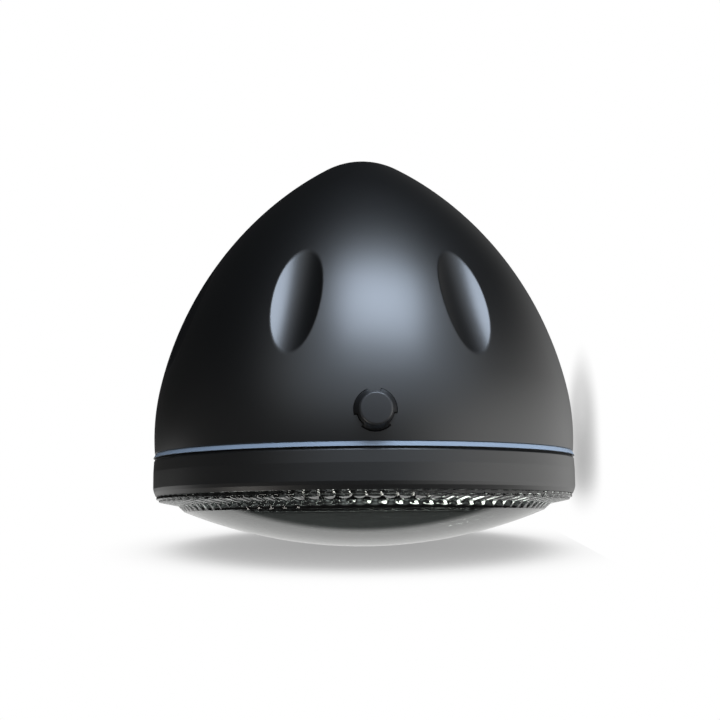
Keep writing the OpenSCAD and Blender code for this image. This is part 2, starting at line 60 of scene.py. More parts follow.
class Signal:
    """A shader socket that takes part in Python arithmetic."""

    def __init__(self, tree: "NodeTree", socket: bpy.types.NodeSocket) -> None:
        """Wraps a socket of a tree."""
        self.tree = tree
        self.socket = socket

    def __add__(self, other: object) -> "Signal":
        """Sum with a number or a signal."""
        return self.tree.math("ADD", self, other)

    def __radd__(self, other: object) -> "Signal":
        """Sum with a number on the left."""
        return self.tree.math("ADD", other, self)

    def __sub__(self, other: object) -> "Signal":
        """Difference with a number or a signal."""
        return self.tree.math("SUBTRACT", self, other)

    def __rsub__(self, other: object) -> "Signal":
        """Difference from a number on the left."""
        return self.tree.math("SUBTRACT", other, self)

    def __mul__(self, other: object) -> "Signal":
        """Product with a number or a signal."""
        return self.tree.math("MULTIPLY", self, other)

    def over(self, low: float, high: float) -> "Signal":
        """Where the signal stands between two levels, from 0 to 1, smoothed."""
        found = self.tree.node("ShaderNodeMapRange", {"interpolation_type": "SMOOTHSTEP"},
                               {"Value": self, "From Min": low, "From Max": high})
        return Signal(self.tree, found.outputs["Result"])


class NodeTree:
    """The tree of a material, the world or a geometry node group, built node by node."""

    def __init__(self, owner: bpy.types.ID) -> None:
        """Empties the tree of a material or the world, or a node group itself."""
        if not isinstance(owner, bpy.types.NodeTree):
            owner.use_nodes = True
            owner = owner.node_tree
        self.tree = owner
        self.tree.nodes.clear()

    def node(self, kind: str, settings: dict | None = None, sockets: dict | None = None) -> bpy.types.Node:
        """Adds a node.

        Args:
            kind: the node's type.
            settings: properties that are set first.
            sockets: values or links of the input sockets, by name or number.

        Returns:
            The new node.
        """
        made = self.tree.nodes.new(kind)
        for name, value in (settings or {}).items():
            setattr(made, name, value)
        self.feed(made, sockets or {})
        return made

    def feed(self, node: bpy.types.Node, sockets: dict) -> None:
        """Sets or links a node's input sockets, by name or number."""
        for name, value in sockets.items():
            found = value.socket if isinstance(value, Signal) else value
            if isinstance(found, bpy.types.NodeSocket):
                self.tree.links.new(found, node.inputs[name])
            else:
                node.inputs[name].default_value = found

    def math(self, operation: str, first: object, second: object) -> Signal:
        """Adds a Math node on two numbers or signals and returns its result."""
        made = self.node("ShaderNodeMath", {"operation": operation}, {0: first, 1: second})
        return Signal(self, made.outputs[0])

    def noise(self, scale: float, detail: float = 2.0, roughness: float = 0.5) -> Signal:
        """Noise over the object's own coordinates, in cycles per metre."""
        place = self.node("ShaderNodeTexCoord")
        made = self.node("ShaderNodeTexNoise", {}, {"Vector": place.outputs["Object"], "Scale": scale,
                                                     "Detail": detail, "Roughness": roughness})
        return Signal(self, made.outputs["Fac"])

    def blend(self, factor: object, first: tuple, second: tuple) -> bpy.types.NodeSocket:
        """Mixes two colours by a factor and returns the colour's socket."""
        made = self.node("ShaderNodeMix", {"data_type": "RGBA"}, {0: factor, 6: (*first, 1.0), 7: (*second, 1.0)})
        return made.outputs[2]

    def bump(self, height: Signal, depth: float) -> bpy.types.NodeSocket:
        """Turns a height from 0 to 1 into a normal; the depth is what 1 stands for, in metres."""
        made = self.node("ShaderNodeBump", {}, {"Height": height, "Distance": depth, "Strength": 1.0})
        return made.outputs["Normal"]


@dataclass(frozen=True)
class Finish:
    """What every finish has: the record's slot, the shader's own sockets and a title of its own if it needs one."""

    slot: str
    base: tuple
    roughness: float
    metallic: float = 0.0
    specular: float = 0.5
    title: str = ""

    def material(self) -> bpy.types.Material:
        """Makes the material of this finish, once."""
        title = f"{self.title or self.slot}_finish"
        known = bpy.data.materials.get(title)
        if known is not None:
            return known
        made = bpy.data.materials.new(title)
        tree = NodeTree(made)
        shader = tree.node("ShaderNodeBsdfPrincipled", {}, {
            "Base Color": (*self.base, 1.0), "Roughness": self.roughness, "Metallic": self.metallic,
            "Specular IOR Level": self.specular})
        tree.node("ShaderNodeOutputMaterial", {}, {"Surface": shader.outputs["BSDF"]})
        self.dress(tree, shader)
        made.diffuse_color = (*self.base, 1.0)
        return made

    def shade(self, factor: float, lift: float = 0.0) -> tuple:
        """The base colour, scaled and lifted."""
        return tuple(c * factor + lift for c in self.base)

    def dress(self, tree: NodeTree, shader: bpy.types.Node) -> None:
        """Adds what is special about the finish."""


@dataclass(frozen=True)
class SatinPaint(Finish):
    """Sprayed black paint with a fine skin and slow changes of gloss."""

    cloud: float = 22.0
    grain: float = 1500.0
    grain_depth: float = 0.000002

    def dress(self, tree: NodeTree, shader: bpy.types.Node) -> None:
        """Adds the sprayed skin, the uneven gloss and a faint change of shade."""
        slow = tree.noise(self.cloud, 3.0)
        skin = tree.noise(self.grain, 3.0, 0.6)
        tree.feed(shader, {"Base Color": tree.blend(slow, self.shade(0.85), self.shade(1.2)),
                           "Roughness": self.roughness - 0.03 + slow * 0.04 + skin * 0.02,
                           "Normal": tree.bump(skin, self.grain_depth)})


@dataclass(frozen=True)
class Rubber(Finish):
    """Matt rubber with a moulded grain."""

    grain: float = 900.0
    grain_depth: float = 0.00004
    bloom: float = 60.0

    def dress(self, tree: NodeTree, shader: bpy.types.Node) -> None:
        """Adds the moulded grain and a dusty change of shade."""
        grain = tree.noise(self.grain, 2.0)
        bloom = tree.noise(self.bloom, 4.0)
        tree.feed(shader, {"Base Color": tree.blend(bloom, self.base, self.shade(1.5, 0.004)),
                           "Normal": tree.bump(grain, self.grain_depth)})


@dataclass(frozen=True)
class Steel(Finish):
    """Plated or bare steel with fine scratches and cloudy plating."""

    cloud: float = 180.0
    scratch: float = 2600.0
    scratch_depth: float = 0.000006

    def dress(self, tree: NodeTree, shader: bpy.types.Node) -> None:
        """Adds cloudy plating and fine scratches."""
        cloud = tree.noise(self.cloud, 4.0)
        scratch = tree.noise(self.scratch, 2.0)
        tree.feed(shader, {"Base Color": tree.blend(cloud, self.base, self.shade(0.82)),
                           "Roughness": self.roughness - 0.05 + cloud * 0.1,
                           "Normal": tree.bump(scratch, self.scratch_depth)})


@dataclass(frozen=True)
class ClearGlass(Finish):
    """Clear moulded glass."""

    index: float = 1.5
    ripple: float = 0.0

    def dress(self, tree: NodeTree, shader: bpy.types.Node) -> None:
        """Lets light through and adds the faint ripple of pressed glass."""
        tree.feed(shader, {"Transmission Weight": 1.0, "IOR": self.index})
        if self.ripple:
            tree.feed(shader, {"Normal": tree.bump(tree.noise(160.0, 2.0), self.ripple)})


@dataclass(frozen=True)
class BrightMirror(Finish):
    """Vacuum-plated reflector with a faint haze."""

    def dress(self, tree: NodeTree, shader: bpy.types.Node) -> None:
        """Adds the haze of the plating."""
        haze = tree.noise(70.0, 4.0)
        tree.feed(shader, {"Roughness": self.roughness + haze * 0.03})


SHELL_PAINT = SatinPaint("shell_paint", (0.002, 0.0021, 0.0022), 0.35, 0.0, 1.0)
RING_PAINT = SatinPaint("ring_paint", (0.0025, 0.0026, 0.0027), 0.35, 0.0, 1.0)
# Pale bluish paint on the front bevel's stripe: a painted highlight standing in for the light that the bevel catches.
PAINTED_EDGE_HIGHLIGHT = SatinPaint("ring_paint", (0.26, 0.32, 0.4), 0.5, 0.0, 0.3, "painted_edge_highlight")
BUSH_PAINT = SatinPaint("bush_black", (0.0106, 0.0106, 0.0113), 0.33, 0.0, 0.66)
BOLT_PAINT = SatinPaint("bolt_black", (0.0265, 0.0268, 0.028), 0.4, 0.0, 0.66)
SEAL = Rubber("seal_rubber", (0.01, 0.01, 0.01), 0.8)
BOOT = Rubber("boot_rubber", (0.014, 0.014, 0.014), 0.7)
SCREW_STEEL = Steel("screw_steel", (0.62, 0.62, 0.6), 0.35, 1.0)
SPRING_STEEL = Steel("spring_steel", (0.5, 0.5, 0.52), 0.3, 1.0)
SEAT_STEEL = Steel("seat_steel", (0.66, 0.65, 0.6), 0.34, 1.0)
CAP_METAL = Steel("cap_metal", (0.7, 0.7, 0.7), 0.28, 1.0)
SHIELD = Steel("shield_metal", (0.5, 0.5, 0.5), 0.3, 1.0)
FILAMENT = Steel("filament_wire", (0.45, 0.45, 0.46), 0.35, 1.0)
BRASS = Steel("terminal_brass", (0.75, 0.58, 0.3), 0.3, 1.0)
LENS_GLASS = ClearGlass("lens_clear", (0.93, 0.98, 0.96), 0.0, index=1.5, ripple=0.00001)
BULB_GLASS = ClearGlass("bulb_glass", (0.98, 0.99, 0.99), 0.0, index=1.46)
MIRROR = BrightMirror("reflector_metal", (0.88, 0.89, 0.9), 0.05, 1.0)


def turned(points: np.ndarray) -> np.ndarray:
    """Turns points or directions from the lamp axis into the vehicle's attitude."""
    return np.stack([points[..., 0], points[..., 2], -points[..., 1]], axis=-1)


def placed(name: str, data: bpy.types.ID) -> bpy.types.Object:
    """Makes an object of a mesh, light or camera and links it to the scene."""
    made = bpy.data.objects.new(name, data)
    bpy.context.scene.collection.objects.link(made)
    return made


def settle(made: bpy.types.Object, change: bpy.types.Modifier) -> None:
    """Makes a modifier's result the piece's own mesh and takes the modifier off."""
    result = bpy.data.meshes.new_from_object(made.evaluated_get(bpy.context.evaluated_depsgraph_get()))
    made.modifiers.remove(change)
    made.data = result


def gathered(items: bpy.types.bpy_prop_collection, name: str, width: int = 1, kind: type = float) -> np.ndarray:
    """Reads one property of all of a mesh's items, as rows where it has several numbers."""
    found = np.empty(len(items) * width, kind)
    items.foreach_get(name, found)
    return found if width == 1 else found.reshape(-1, width)


def prism_faces(count: int) -> list:
    """Faces of a prism with this many points at each end, one end after the other."""
    ends = [list(range(count)), list(range(2 * count - 1, count - 1, -1))]
    return ends + [[i, i + count, (i + 1) % count + count, (i + 1) % count] for i in range(count)]


def piece(name: str, points: np.ndarray, faces: list, finish: Finish) -> bpy.types.Object:
    """Makes a mesh object of points on the lamp axis.

    Args:
        name: the object's name.
        points: places on the lamp axis, in millimetres.
        faces: lists of point numbers.
        finish: the finish of all its faces.

    Returns:
        The object, linked to the scene.
    """
    mesh = bpy.data.meshes.new(name)
    mesh.from_pydata((turned(points) * MM).tolist(), [], faces)
    mesh.materials.append(finish.material())
    return placed(name, mesh)


def seat(made: bpy.types.Object, finish: Finish, *nodes: str) -> None:
    """Puts a finished piece on the lamp's body, in place of the nodes that it stands for."""
    if nodes:
        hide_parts(*nodes)
    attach(made, BODY)
    LOG.info("%s: %d faces", made.name, len(made.data.polygons))


def close_up(made: bpy.types.Object, angle: float) -> None:
    """Merges doubles, points the faces outwards and smooths all but the sharp edges.

    Args:
        made: the piece.
        angle: edges sharper than this many degrees stay sharp.
    """
    shape = bmesh.new()
    shape.from_mesh(made.data)
    bmesh.ops.remove_doubles(shape, verts=shape.verts, dist=WELD)
    bmesh.ops.dissolve_degenerate(shape, edges=shape.edges, dist=SLIVER)
    bmesh.ops.recalc_face_normals(shape, faces=shape.faces)
    shape.to_mesh(made.data)
    shape.free()
    made.data.shade_smooth()
    made.data.set_sharp_from_angle(angle=math.radians(angle))


def rounded(corners: list, steps: int = 5, lead: float = 0.12) -> np.ndarray:
    """Rounds the corners of a closed outline.

    Args:
        corners: (radius, height, rounding) of each corner.
        steps: pieces of each rounding.
        lead: distance of the extra points that keep the flats flat.

    Returns:
        The outline's points, as (radius, height).
    """
    found = []
    count = len(corners)
    for index, (r, z, size) in enumerate(corners):
        here = np.array([r, z], float)
        before = np.array(corners[index - 1][:2], float) - here
        after = np.array(corners[(index + 1) % count][:2], float) - here
        if size <= 0:
            found.append(here)
            continue
        lengths = np.linalg.norm(before), np.linalg.norm(after)
        before, after = before / lengths[0], after / lengths[1]
        half = math.acos(float(np.clip(before @ after, -1, 1))) / 2
        reach = min(size / math.tan(half), ROUND_SHARE * min(lengths))
        radius = reach * math.tan(half)
        centre = here + (before + after) / np.linalg.norm(before + after) * radius / math.sin(half)
        start, end = here + before * reach - centre, here + after * reach - centre
        sweep = math.atan2(start[0] * end[1] - start[1] * end[0], float(start @ end))
        if reach + lead < LEAD_SHARE * lengths[0]:
            found.append(here + before * (reach + lead))
        for step in range(steps + 1):
            a = sweep * step / steps
            turn = np.array([[math.cos(a), -math.sin(a)], [math.sin(a), math.cos(a)]])
            found.append(centre + turn @ start)
        if reach + lead < LEAD_SHARE * lengths[1]:
            found.append(here + after * (reach + lead))
    return np.array(found)


def lathe(name: str, outline: np.ndarray, segments: int, finish: Finish, angle: float) -> bpy.types.Object:
    """Makes a smooth piece from a closed outline turned round the lamp axis.

    Args:
        name: the piece's name.
        outline: (radius, height) points.
        segments: steps round the axis.
        finish: its finish.
        angle: edges sharper than this many degrees stay sharp.

    Returns:
        The piece.
    """
    angles = np.arange(segments) * 2 * math.pi / segments
    ring = np.stack([np.cos(angles), np.sin(angles)], -1)
    points = np.concatenate([ring[:, None, :] * outline[None, :, :1],
                             np.broadcast_to(outline[None, :, 1:], (segments, len(outline), 1))], -1)
    rows = len(outline)
    faces = []
    for i in range(segments):
        a, b = i * rows, (i + 1) % segments * rows
        faces += [[a + j, b + j, b + (j + 1) % rows, a + (j + 1) % rows] for j in range(rows)]
    made = piece(name, points.reshape(-1, 3), faces, finish)
    close_up(made, angle)
    return made


def resampled(corners: np.ndarray, length: float) -> np.ndarray:
    """Adds points to an open outline, about this far apart."""
    found = []
    for first, second in zip(corners[:-1], corners[1:]):
        count = max(1, int(float(np.linalg.norm(second - first)) / length))
        found += [first + (second - first) * t for t in np.linspace(0, 1, count, endpoint=False)]
    return np.array([*found, corners[-1]])


def normals_along(outline: np.ndarray) -> np.ndarray:
    """Directions square to an open outline, to the right of its run."""
    along = np.gradient(outline, axis=0)
    along /= np.linalg.norm(along, axis=1, keepdims=True)
    return np.stack([along[:, 1], -along[:, 0]], -1)


@dataclass
class BulletShell:
    """The housing: belt, flank and nose arcs, six scooped dimples and a stepped front edge."""

    shell_r: float = 99.7
    edge_z: float = -14.8
    belt_z: float = -4.6
    wall: float = 2.5
    belt_curve: float = 104.5
    belt_angle: float = 12.6
    flank_curve: float = 167.0
    nose_angle: float = 59.4
    lip_w: float = 2.0
    lip_r: float = 99.9
    lip_flare: float = 1.0
    dimple_angles: tuple = (28.0, -22.0, -72.0, 152.0, 202.0, 252.0)
    dimple_at: float = 24.0
    dimple_depth: float = 3.6
    dimple_scoop: float = 22.8
    dimple_sweep: float = 226.0
    edge_soft: float = 0.3
    settle_steps: int = 24
    settle_rate: float = 0.9
    dimple_top: float = 34.4
    dimple_rows: float = 0.235
    dimple_half: float = 10.4
    dimple_turn: float = 0.33
    side_half: float = 8.0
    side_turn: float = 1.2
    plain_turn: float = 2.4
    recess_r: float = 9.15
    recess_depth: float = 4.0
    recess_floor: float = 4.0
    boss_r: float = 11.55
    key_first: float = 92.0
    key_angle: float = 34.0
    key_depth: float = 1.25
    inlet_back: float = 7.0
    inlet_r: float = 9.3
    inlet_neck: float = 6.5
    inlet_half: float = 9.0
    inlet_sink: float = 0.8
    screw_z: float = -8.4
    screw_hole: float = 2.2
    screw_head: float = 4.3
    screw_half: float = 4.0
    screw_sink: float = 1.0
    drum_long: float = 14.0
    drum_start: float = 8.0
    skin_gap: float = 0.08
    skin_agree: float = 0.9

    def __post_init__(self) -> None:
        """Works out the arcs' centres and the seats."""
        self.belt_c = np.array([self.shell_r - self.belt_curve, self.belt_z])
        self.belt_end = self.on_arc(self.belt_c, self.belt_curve, self.belt_angle)
        self.flank_c = self.on_arc(self.belt_end, -self.flank_curve, self.belt_angle)
        self.flank_end = self.on_arc(self.flank_c, self.flank_curve, self.nose_angle)
        self.nose_curve = self.flank_end[0] / math.cos(math.radians(self.nose_angle))
        self.nose_c = np.array([0.0, self.flank_end[1] - self.nose_curve * math.sin(math.radians(self.nose_angle))])
        self.inlet_flat = self.flat_at(self.inlet_back + self.inlet_half, self.inlet_half) - self.inlet_sink
        self.screw_seat = self.flat_at(self.screw_z - self.screw_half, self.screw_half) - self.screw_sink
        self.mount_surface = self.radius_at(0.0)

    @staticmethod
    def on_arc(centre: np.ndarray, radius: float, angle: float) -> np.ndarray:
        """Point of an arc at an angle in degrees."""
        a = math.radians(angle)
        return np.array([centre[0] + radius * math.cos(a), centre[1] + radius * math.sin(a)])

    def radius_at(self, z: float) -> float:
        """Radius of the outside at a height on the lamp axis."""
        if z < self.belt_end[1]:
            return self.belt_c[0] + math.sqrt(self.belt_curve ** 2 - (z - self.belt_z) ** 2)
        return self.flank_c[0] + math.sqrt(self.flank_curve ** 2 - (z - self.flank_c[1]) ** 2)

    def flat_at(self, z: float, half: float) -> float:
        """Height of the outside at half a width away from the axis' own plane."""
        return math.sqrt(self.radius_at(z) ** 2 - half ** 2)

    def meridian(self, coarse: bool) -> np.ndarray:
        """Samples the outside from the lip to the nose.

        Args:
            coarse: whether few rows will do, as on the inside.

        Returns:
            Rows of radius, height, and the normal's two parts.
        """
        first = -math.degrees(math.asin((self.belt_z - self.edge_z - self.lip_w - 0.3) / self.belt_curve))
        belt = np.arange(first, self.belt_angle, 1.5 if coarse else 1.0)
        if coarse:
            flank = np.arange(self.belt_angle, self.nose_angle, 2.5)
        else:
            flank = np.concatenate([np.arange(self.belt_angle, self.dimple_top, self.dimple_rows),
                                    np.arange(self.dimple_top, self.nose_angle, 1.3)])
        nose = np.linspace(self.nose_angle, 90.0, 7 if coarse else 16)
        spans = ((self.belt_c, self.belt_curve, belt), (self.flank_c, self.flank_curve, flank),
                 (self.nose_c, self.nose_curve, nose))
        rows = np.array([[*self.on_arc(centre, radius, a), math.cos(math.radians(a)), math.sin(math.radians(a))]
                         for centre, radius, angles in spans for a in angles])
        rows[-1, 0] = 0.0
        return rows

    def azimuths(self) -> np.ndarray:
        """Angles round the axis, close together across the dimples and the side mounts."""
        marks = np.array(self.dimple_angles)
        found = []
        a = -90.0
        while a < 269.999:
            away = np.min(np.abs((a - marks + 180) % 360 - 180))
            side = min(abs((a + 180) % 360 - 180), abs(a % 360 - 180))
            widest = self.side_turn if side < self.side_half else self.plain_turn
            found.append(a)
            a += min(widest, max(self.dimple_turn, away - self.dimple_half))
        return np.radians(np.array(found))

    def dimple_distance(self, points: np.ndarray, grow: float) -> np.ndarray:
        """Distance from the nearest dimple's cutter, below zero inside it."""
        spot = self.on_arc(self.flank_c, self.flank_curve, self.dimple_at)
        a = math.radians(self.dimple_at)
        best = np.full(points.shape[:-1], 1e9)
        for angle in np.radians(self.dimple_angles):
            out = points[..., 0] * math.cos(angle) + points[..., 1] * math.sin(angle) - spot[0]
            across = -points[..., 0] * math.sin(angle) + points[..., 1] * math.cos(angle)
            up = points[..., 2] - spot[1]
            u = out * math.cos(a) + up * math.sin(a)
            w = -out * math.sin(a) + up * math.cos(a)
            q = np.sqrt((self.dimple_sweep - self.dimple_depth - u) ** 2 + w ** 2)
            tube = np.sqrt((q - self.dimple_sweep + self.dimple_scoop) ** 2 + across ** 2) - self.dimple_scoop - grow
            best = np.minimum(best, np.where(out > -spot[0] * 0.6, tube, 1e9))
        return best

    def skin(self, rows: np.ndarray, angles: np.ndarray, inset: float) -> np.ndarray:
        """Points of the outside or the inside of the shell.

        Args:
            rows: the meridian.
            angles: the azimuths.
            inset: how far below the outside.

        Returns:
            Points by azimuth and row.
        """
        spin = np.stack([np.cos(angles), np.sin(angles)], -1)
        base = np.empty((len(angles), len(rows), 3))
        normal = np.empty_like(base)
        base[..., :2] = spin[:, None, :] * rows[None, :, :1]
        base[..., 2] = rows[None, :, 1]
        normal[..., :2] = spin[:, None, :] * rows[None, :, 2:3]
        normal[..., 2] = rows[None, :, 3]
        depth = np.full(base.shape[:2], -inset)
        for _ in range(self.settle_steps):
            cut = -self.dimple_distance(base + normal * depth[..., None], inset)
            depth = depth - self.softened(depth + inset, cut) * self.settle_rate
        return base + normal * depth[..., None]

    def softened(self, own: np.ndarray, cut: np.ndarray) -> np.ndarray:
        """The larger of two heights, rounded where they meet."""
        near = np.clip(self.edge_soft - np.abs(own - cut), 0, None) / self.edge_soft
        return np.maximum(own, cut) + near ** 2 * self.edge_soft / 4

    def outward(self, points: np.ndarray) -> np.ndarray:
        """Exact normals of the outside at points on it, on the lamp axis."""
        step = 0.02
        found = np.empty_like(points)
        for axis in range(3):
            shift = np.zeros(3)
            shift[axis] = step
            found[..., axis] = self.level(points + shift) - self.level(points - shift)
        return found / np.linalg.norm(found, axis=-1, keepdims=True)

    def level(self, points: np.ndarray) -> np.ndarray:
        """Height above the shell's outside, below zero within it."""
        r = np.hypot(points[..., 0], points[..., 1])
        z = points[..., 2]
        belt = np.hypot(r - self.belt_c[0], z - self.belt_c[1]) - self.belt_curve
        flank = np.hypot(r - self.flank_c[0], z - self.flank_c[1]) - self.flank_curve
        nose = np.hypot(r, z - self.nose_c[1]) - self.nose_curve
        slope = np.degrees(np.arctan2(z - self.flank_c[1], r - self.flank_c[0]))
        own = np.where(slope < self.belt_angle, belt, np.where(slope < self.nose_angle, flank, nose))
        return self.softened(own, -self.dimple_distance(points, 0.0))

    def build(self) -> bpy.types.Object:
        """Makes the shell with its recesses, holes and exact shading.

        Returns:
            The finished piece.
        """
        angles = self.azimuths()
        outer = self.skin(self.meridian(False), angles, 0.0)
        inner = self.skin(self.meridian(True), angles, self.wall)
        at_side = (np.hypot(inner[..., 1], inner[..., 2]) < self.boss_r) & (np.abs(inner[..., 0]) > 80)
        face = self.mount_surface - self.recess_depth - self.recess_floor
        inner[..., 0] = np.where(at_side, np.sign(inner[..., 0]) * face, inner[..., 0])
        spin = np.stack([np.cos(angles), np.sin(angles)], -1)
        bore = self.shell_r - self.wall
        front = [(bore, self.edge_z), (self.lip_r - 0.15, self.edge_z), (self.lip_r, self.edge_z + 0.12),
                 (self.lip_r - self.lip_flare + 0.1, self.edge_z + self.lip_w - 0.1),
                 (self.lip_r - self.lip_flare, self.edge_z + self.lip_w)]
        edge = np.empty((len(angles), len(front), 3))
        for j, (r, z) in enumerate(front):
            edge[:, j, :2] = spin * r
            edge[:, j, 2] = z
        inner_rows = inner[:, ::-1][:, 1:]
        table = np.concatenate([edge, outer[:, :-1]], 1)
        back = inner_rows[:, 1:]
        count, rows = table.shape[0], table.shape[1] + back.shape[1]
        points = np.concatenate([np.concatenate([table, back], 1).reshape(-1, 3),
                                 outer[0, -1][None], inner[0, -1][None]])
        apex, pit = count * rows, count * rows + 1
        turn = table.shape[1]
        faces = []
        for i in range(count):
            a, b = i * rows, (i + 1) % count * rows
            for j in range(rows - 1):
                if j == turn - 1:
                    faces.append([a + j, b + j, apex])
                    faces.append([b + j + 1, a + j + 1, pit])
                else:
                    faces.append([a + j, b + j, b + j + 1, a + j + 1])
            faces.append([a + rows - 1, b + rows - 1, b, a])
        made = piece("bullet_shell", points, faces, SHELL_PAINT)
        close_up(made, 40)
        self.cut(made, [self.recess_tool(Side.RIGHT), self.recess_tool(Side.LEFT),
                        self.drum(self.inlet_back, self.inlet_flat, self.inlet_r),
                        self.drum(self.screw_z, self.screw_seat, self.screw_head)])
        self.cut(made, [self.drum(self.inlet_back, self.inlet_flat - self.drum_start, self.inlet_neck),
                        self.drum(self.screw_z, self.screw_seat - self.drum_start, self.screw_hole)])
        self.shade(made)
        return made

    def recess_tool(self, side: Side) -> tuple[np.ndarray, list]:
        """Cutter of a keyed side recess, as points on the lamp axis and faces."""
        outline = []
        half = self.key_angle / 2
        for k in range(3):
            middle = 90 + self.key_first + 120 * k
            for first, last, count, radius in ((middle - half, middle + half, 9, self.recess_r - self.key_depth),
                                               (middle + half + 0.4, middle + 120 - half - 0.4, 19, self.recess_r)):
                outline += [(math.radians(a), radius) for a in np.linspace(first, last, count)]
        low, high = self.mount_surface - self.recess_depth, self.mount_surface + 3
        found = np.array([[x, math.sin(a) * r, -math.cos(a) * r] for x in (low, high) for a, r in outline])
        found[:, 0] *= side.value
        return found, prism_faces(len(outline))

    def drum(self, z: float, low: float, radius: float) -> tuple[np.ndarray, list]:
        """Round cutter on the underside, from a height outwards, as points on the lamp axis and faces."""
        count = 72
        turn = np.arange(count) * 2 * math.pi / count
        heights = (low, low + self.drum_long)
        points = [[math.cos(a) * radius, y, z + math.sin(a) * radius] for y in heights for a in turn]
        return np.array(points), prism_faces(count)

    def cut(self, made: bpy.types.Object, tools: list) -> None:
        """Takes cutters away from the shell.

        Args:
            made: the shell.
            tools: points and faces of each cutter.
        """
        points, faces, base = [], [], 0
        for p, f in tools:
            points.append(p)
            faces += [[base + i for i in face] for face in f]
            base += len(p)
        tool = piece("cutter", np.concatenate(points), faces, SHELL_PAINT)
        close_up(tool, 30)
        change = made.modifiers.new("cut", "BOOLEAN")
        change.operation = "DIFFERENCE"
        change.solver = "MANIFOLD"
        change.object = tool
        settle(made, change)
        bpy.data.objects.remove(tool)

    def shade(self, made: bpy.types.Object) -> None:
        """Gives each face of the outside its exact normals, so that no facet shows.

        Args:
            made: the shell.
        """
        mesh = made.data
        mesh.shade_smooth()
        mesh.set_sharp_from_angle(angle=math.radians(30))
        places = gathered(mesh.vertices, "co", 3) / MM
        local = np.stack([places[:, 0], -places[:, 2], places[:, 1]], -1)
        corner = gathered(mesh.loops, "vertex_index", kind=int)
        totals = gathered(mesh.polygons, "loop_total", kind=int)
        owner = np.repeat(np.arange(len(totals)), totals)
        centre = np.zeros((len(totals), 3))
        np.add.at(centre, owner, local[corner])
        centre /= totals[:, None]
        exact = turned(self.outward(local))[corner]
        agree = np.sum(gathered(mesh.polygons, "normal", 3)[owner] * exact, -1)
        behind_lip = centre[:, 2] > self.edge_z + self.lip_w + 0.2
        on_skin = (np.abs(self.level(centre)) < self.skin_gap) & behind_lip
        normals = gathered(mesh.corner_normals, "vector", 3)
        use = on_skin[owner] & (agree > self.skin_agree)
        normals[use] = exact[use]
        mesh.normals_split_custom_set(normals.tolist())


@dataclass
class EdgeStripe:
    """A thin stripe on the bevel at the shell's front edge, coloured pale bluish as a painted highlight for the light
    that the bevel catches.
    """

    shell: BulletShell
    proud: float = 0.12
    deep: float = 0.25

    def build(self) -> bpy.types.Object:
        """Turns the stripe's outline."""
        front_r, front = self.shell.lip_r, self.shell.edge_z
        back_r, back = front_r - self.shell.lip_flare, front + self.shell.lip_w
        corners = [(front_r + self.proud, front, 0.05), (back_r + self.proud, back, 0.05),
                   (back_r - self.deep, back, 0.03), (front_r - self.deep, front, 0.03)]
        return lathe("edge_stripe", rounded(corners, 3), 288, PAINTED_EDGE_HIGHLIGHT, 30)


@dataclass
class TrimRing:
    """The ring round the lens, with its shoulder and the spigot that enters the shell."""

    outer: float = 100.0
    front: float = -32.4
    back: float = -15.4
    pocket: float = 98.5
    shoulder: float = 92.6
    shoulder_front: float = -26.0
    shoulder_back: float = -24.5
    spigot: float = 96.9
    spigot_bore: float = 95.4
    spigot_back: float = -10.4

    def build(self) -> bpy.types.Object:
        """Turns the ring's outline."""
        corners = [
            (self.pocket, self.front, 0.1), (self.pocket + 0.35, self.front, 0.15),
            (self.outer - 0.35, self.front + 1.9, 0.8), (self.outer, self.front + 3.4, 1.0),
            (self.outer, self.back - 6.0, 3.0), (self.outer - 0.3, self.back - 0.85, 0.35),
            (self.outer - 0.95, self.back, 0.3), (self.spigot, self.back, 0.1),
            (self.spigot, self.spigot_back, 0.3), (self.spigot_bore, self.spigot_back, 0.3),
            (self.spigot_bore, self.shoulder_back, 0.2), (self.shoulder, self.shoulder_back, 0.3),
            (self.shoulder, self.shoulder_front, 0.3), (self.pocket, self.shoulder_front, 0.2)]
        return lathe("ring_shell", rounded(corners), 288, RING_PAINT, 35)


